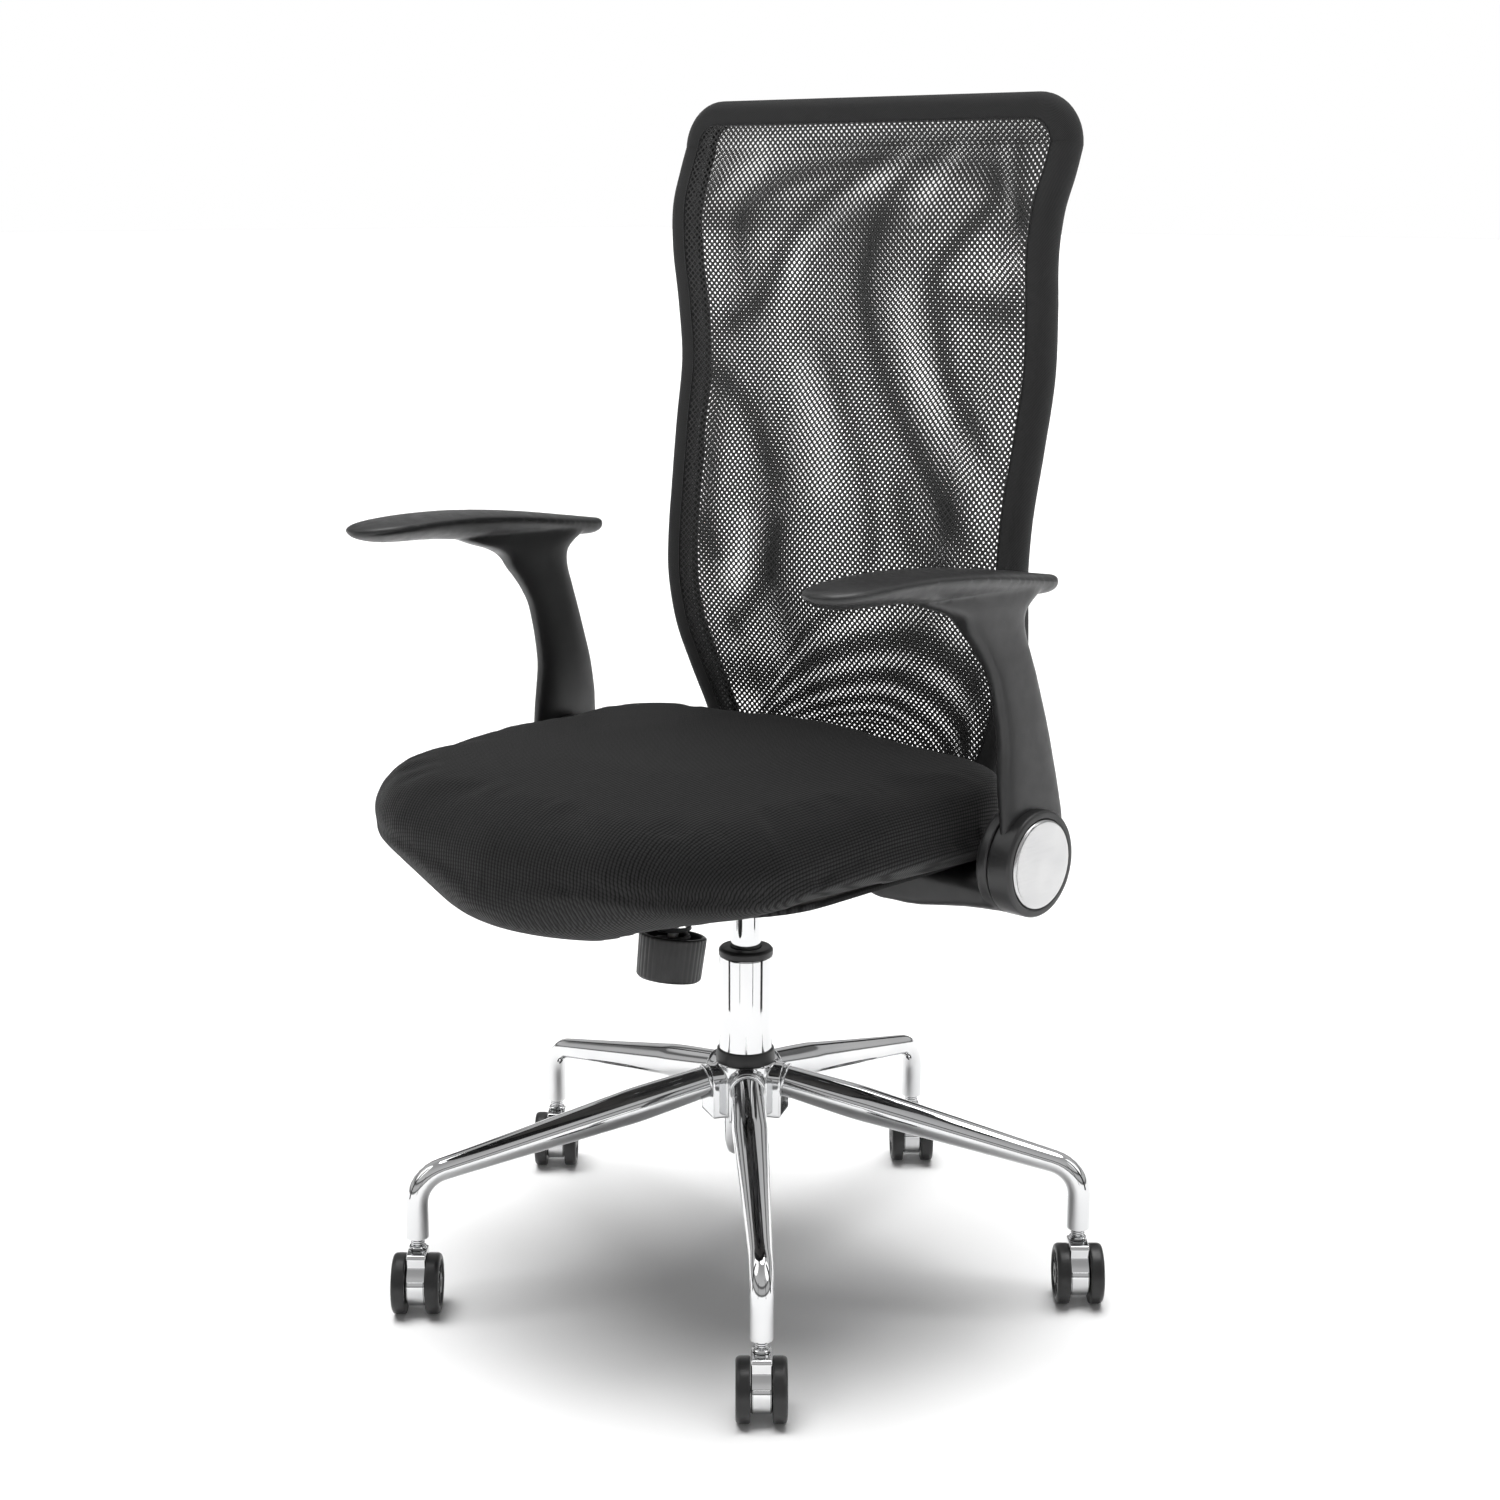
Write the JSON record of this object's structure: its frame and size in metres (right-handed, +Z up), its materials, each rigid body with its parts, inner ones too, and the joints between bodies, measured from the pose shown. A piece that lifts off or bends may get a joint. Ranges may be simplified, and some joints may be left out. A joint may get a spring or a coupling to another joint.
{
  "type": "swivel office chair",
  "caption": "Swivel office chair with a padded seat, tall see-through mesh back, flip-up armrests, gas lift, tilt mechanism and chrome tube base on twin-wheel castors.",
  "frame": {"origin": "on the floor under the swivel axis", "axes": "+Z up along the swivel axis, the chair faces -Y, +X is the sitter's left"},
  "size_m": [0.6603, 0.6684, 1.078],
  "materials": {
    "chrome": "polished",
    "satin_chrome": "satin",
    "black_plastic": "moulded, slightly glossy",
    "arm_plastic": "fine satin texture",
    "bearing_plastic": "smooth",
    "steel": "bright zinc plate",
    "black_steel": "black powder coat",
    "plywood": "bare moulded ply",
    "seat_fabric": "ribbed spacer mesh",
    "mesh_fabric": "open knitted mesh",
    "castor_plastic": "satin nylon"
  },
  "bodies": {
    "base": {"base_hub": "chrome", "leg_1": "chrome", "leg_2": "chrome", "leg_3": "chrome", "leg_4": "chrome", "leg_5": "chrome", "castor_stems": "chrome", "column_tube": "chrome", "column_collar": "black_plastic", "column_bush": "black_plastic", "thrust_bearing": "steel"},
    "lift_rod": {"piston_rod": "steel", "rod_clip": "steel"},
    "mechanism": {"gas_cylinder": "chrome", "tilt_housing": "black_steel", "taper_socket": "black_steel", "spring_seat": "steel", "tension_spring": "steel"},
    "release": {"release_pin": "steel"},
    "lever": {"lever_rod": "black_steel", "lever_pin": "steel", "lever_grip": "black_plastic"},
    "seat": {"seat_plate": "black_steel", "hook_pin": "steel", "pivot_pin": "steel", "seat_board": "plywood", "seat_cushion": "seat_fabric", "seat_bolts": "steel", "back_frame": "black_steel", "back_mesh": "mesh_fabric", "frame_clamps": "black_steel", "clamp_bolts": "steel", "arm_bracket_left": "arm_plastic", "arm_bracket_right": "arm_plastic", "arm_bolts": "steel", "arm_pivot_left": "steel", "arm_pivot_right": "steel"},
    "arm_left": {"arm_left": "arm_plastic", "arm_bush_left": "bearing_plastic", "arm_cap_left": "satin_chrome"},
    "arm_right": {"arm_right": "arm_plastic", "arm_bush_right": "bearing_plastic", "arm_cap_right": "satin_chrome"},
    "tension": {"tension_bolt": "steel"},
    "knob": {"tension_knob": "black_plastic"},
    "castor_1": {"castor_body_1": "chrome"},
    "wheels_1": {"castor_wheels_1": "castor_plastic", "castor_axle_1": "steel"},
    "castor_2": {"castor_body_2": "chrome"},
    "wheels_2": {"castor_wheels_2": "castor_plastic", "castor_axle_2": "steel"},
    "castor_3": {"castor_body_3": "chrome"},
    "wheels_3": {"castor_wheels_3": "castor_plastic", "castor_axle_3": "steel"},
    "castor_4": {"castor_body_4": "chrome"},
    "wheels_4": {"castor_wheels_4": "castor_plastic", "castor_axle_4": "steel"},
    "castor_5": {"castor_body_5": "chrome"},
    "wheels_5": {"castor_wheels_5": "castor_plastic", "castor_axle_5": "steel"}
  },
  "joints": [
    {"name": "seat_swivel", "type": "hinge", "parent": "base", "child": "lift_rod", "pos_m": [0, 0, 0.12], "axis": [0, 0, 1], "continuous": true},
    {"name": "seat_height", "type": "slide", "parent": "lift_rod", "child": "mechanism", "axis": [0, 0, 1], "range_m": [-0.045, 0.055]},
    {"name": "seat_tilt", "type": "hinge", "parent": "mechanism", "child": "seat", "pos_m": [0, -0.035, 0.405], "axis": [-1, 0, 0], "range_deg": [0, 14], "stiffness_Nm_per_rad": 120, "springref_deg": -14.32},
    {"name": "bolt_slide", "type": "slide", "parent": "mechanism", "child": "tension", "axis": [0, 0.1564, 0.9877], "range_m": [0, 0.0135], "deforming": ["tension_spring"]},
    {"name": "knob_turn", "type": "hinge", "parent": "tension", "child": "knob", "pos_m": [0, -0.103, 0.302], "axis": [0, 0.1564, 0.9877], "range_deg": [-720, 720]},
    {"name": "lever_lift", "type": "hinge", "parent": "mechanism", "child": "lever", "pos_m": [-0.0385, 0, 0.4], "axis": [0, 1, 0], "range_deg": [0, 6], "stiffness_Nm_per_rad": 2.5, "springref_deg": -6.88},
    {"name": "release_push", "type": "slide", "parent": "mechanism", "child": "release", "axis": [0, 0, -1], "range_m": [0, 0.0045]},
    {"name": "arm_left_flip", "type": "hinge", "parent": "seat", "child": "arm_left", "pos_m": [0.2815, 0.039, 0.437], "axis": [-1, 0, 0], "range_deg": [0, 90]},
    {"name": "arm_right_flip", "type": "hinge", "parent": "seat", "child": "arm_right", "pos_m": [-0.2815, 0.039, 0.437], "axis": [-1, 0, 0], "range_deg": [0, 90]},
    {"name": "castor_swivel_1", "type": "hinge", "parent": "base", "child": "castor_1", "pos_m": [0.22472, -0.22316, 0.045], "axis": [0, 0, 1], "continuous": true},
    {"name": "wheel_spin_1", "type": "hinge", "parent": "castor_1", "child": "wheels_1", "pos_m": [0.23154, -0.23047, 0.0275], "axis": [0.7314, 0.682, 0], "continuous": true},
    {"name": "castor_swivel_2", "type": "hinge", "parent": "base", "child": "castor_2", "pos_m": [0.28168, 0.14476, 0.045], "axis": [0, 0, 1], "continuous": true},
    {"name": "wheel_spin_2", "type": "hinge", "parent": "castor_2", "child": "wheels_2", "pos_m": [0.2885, 0.13745, 0.0275], "axis": [0.7314, 0.682, 0], "continuous": true},
    {"name": "castor_swivel_3", "type": "hinge", "parent": "base", "child": "castor_3", "pos_m": [-0.05063, 0.31263, 0.045], "axis": [0, 0, 1], "continuous": true},
    {"name": "wheel_spin_3", "type": "hinge", "parent": "castor_3", "child": "wheels_3", "pos_m": [-0.04381, 0.30531, 0.0275], "axis": [0.7314, 0.682, 0], "continuous": true},
    {"name": "castor_swivel_4", "type": "hinge", "parent": "base", "child": "castor_4", "pos_m": [-0.31297, 0.04845, 0.045], "axis": [0, 0, 1], "continuous": true},
    {"name": "wheel_spin_4", "type": "hinge", "parent": "castor_4", "child": "wheels_4", "pos_m": [-0.30615, 0.04114, 0.0275], "axis": [0.7314, 0.682, 0], "continuous": true},
    {"name": "castor_swivel_5", "type": "hinge", "parent": "base", "child": "castor_5", "pos_m": [-0.14279, -0.28268, 0.045], "axis": [0, 0, 1], "continuous": true},
    {"name": "wheel_spin_5", "type": "hinge", "parent": "castor_5", "child": "wheels_5", "pos_m": [-0.13597, -0.29, 0.0275], "axis": [0.7314, 0.682, 0], "continuous": true}
  ],
  "couplings": [
    {"joint": "bolt_slide", "follows": "seat_tilt", "m_per_rad": 0.05095},
    {"joint": "release_push", "follows": "lever_lift", "m_per_rad": 0.0385}
  ]
}
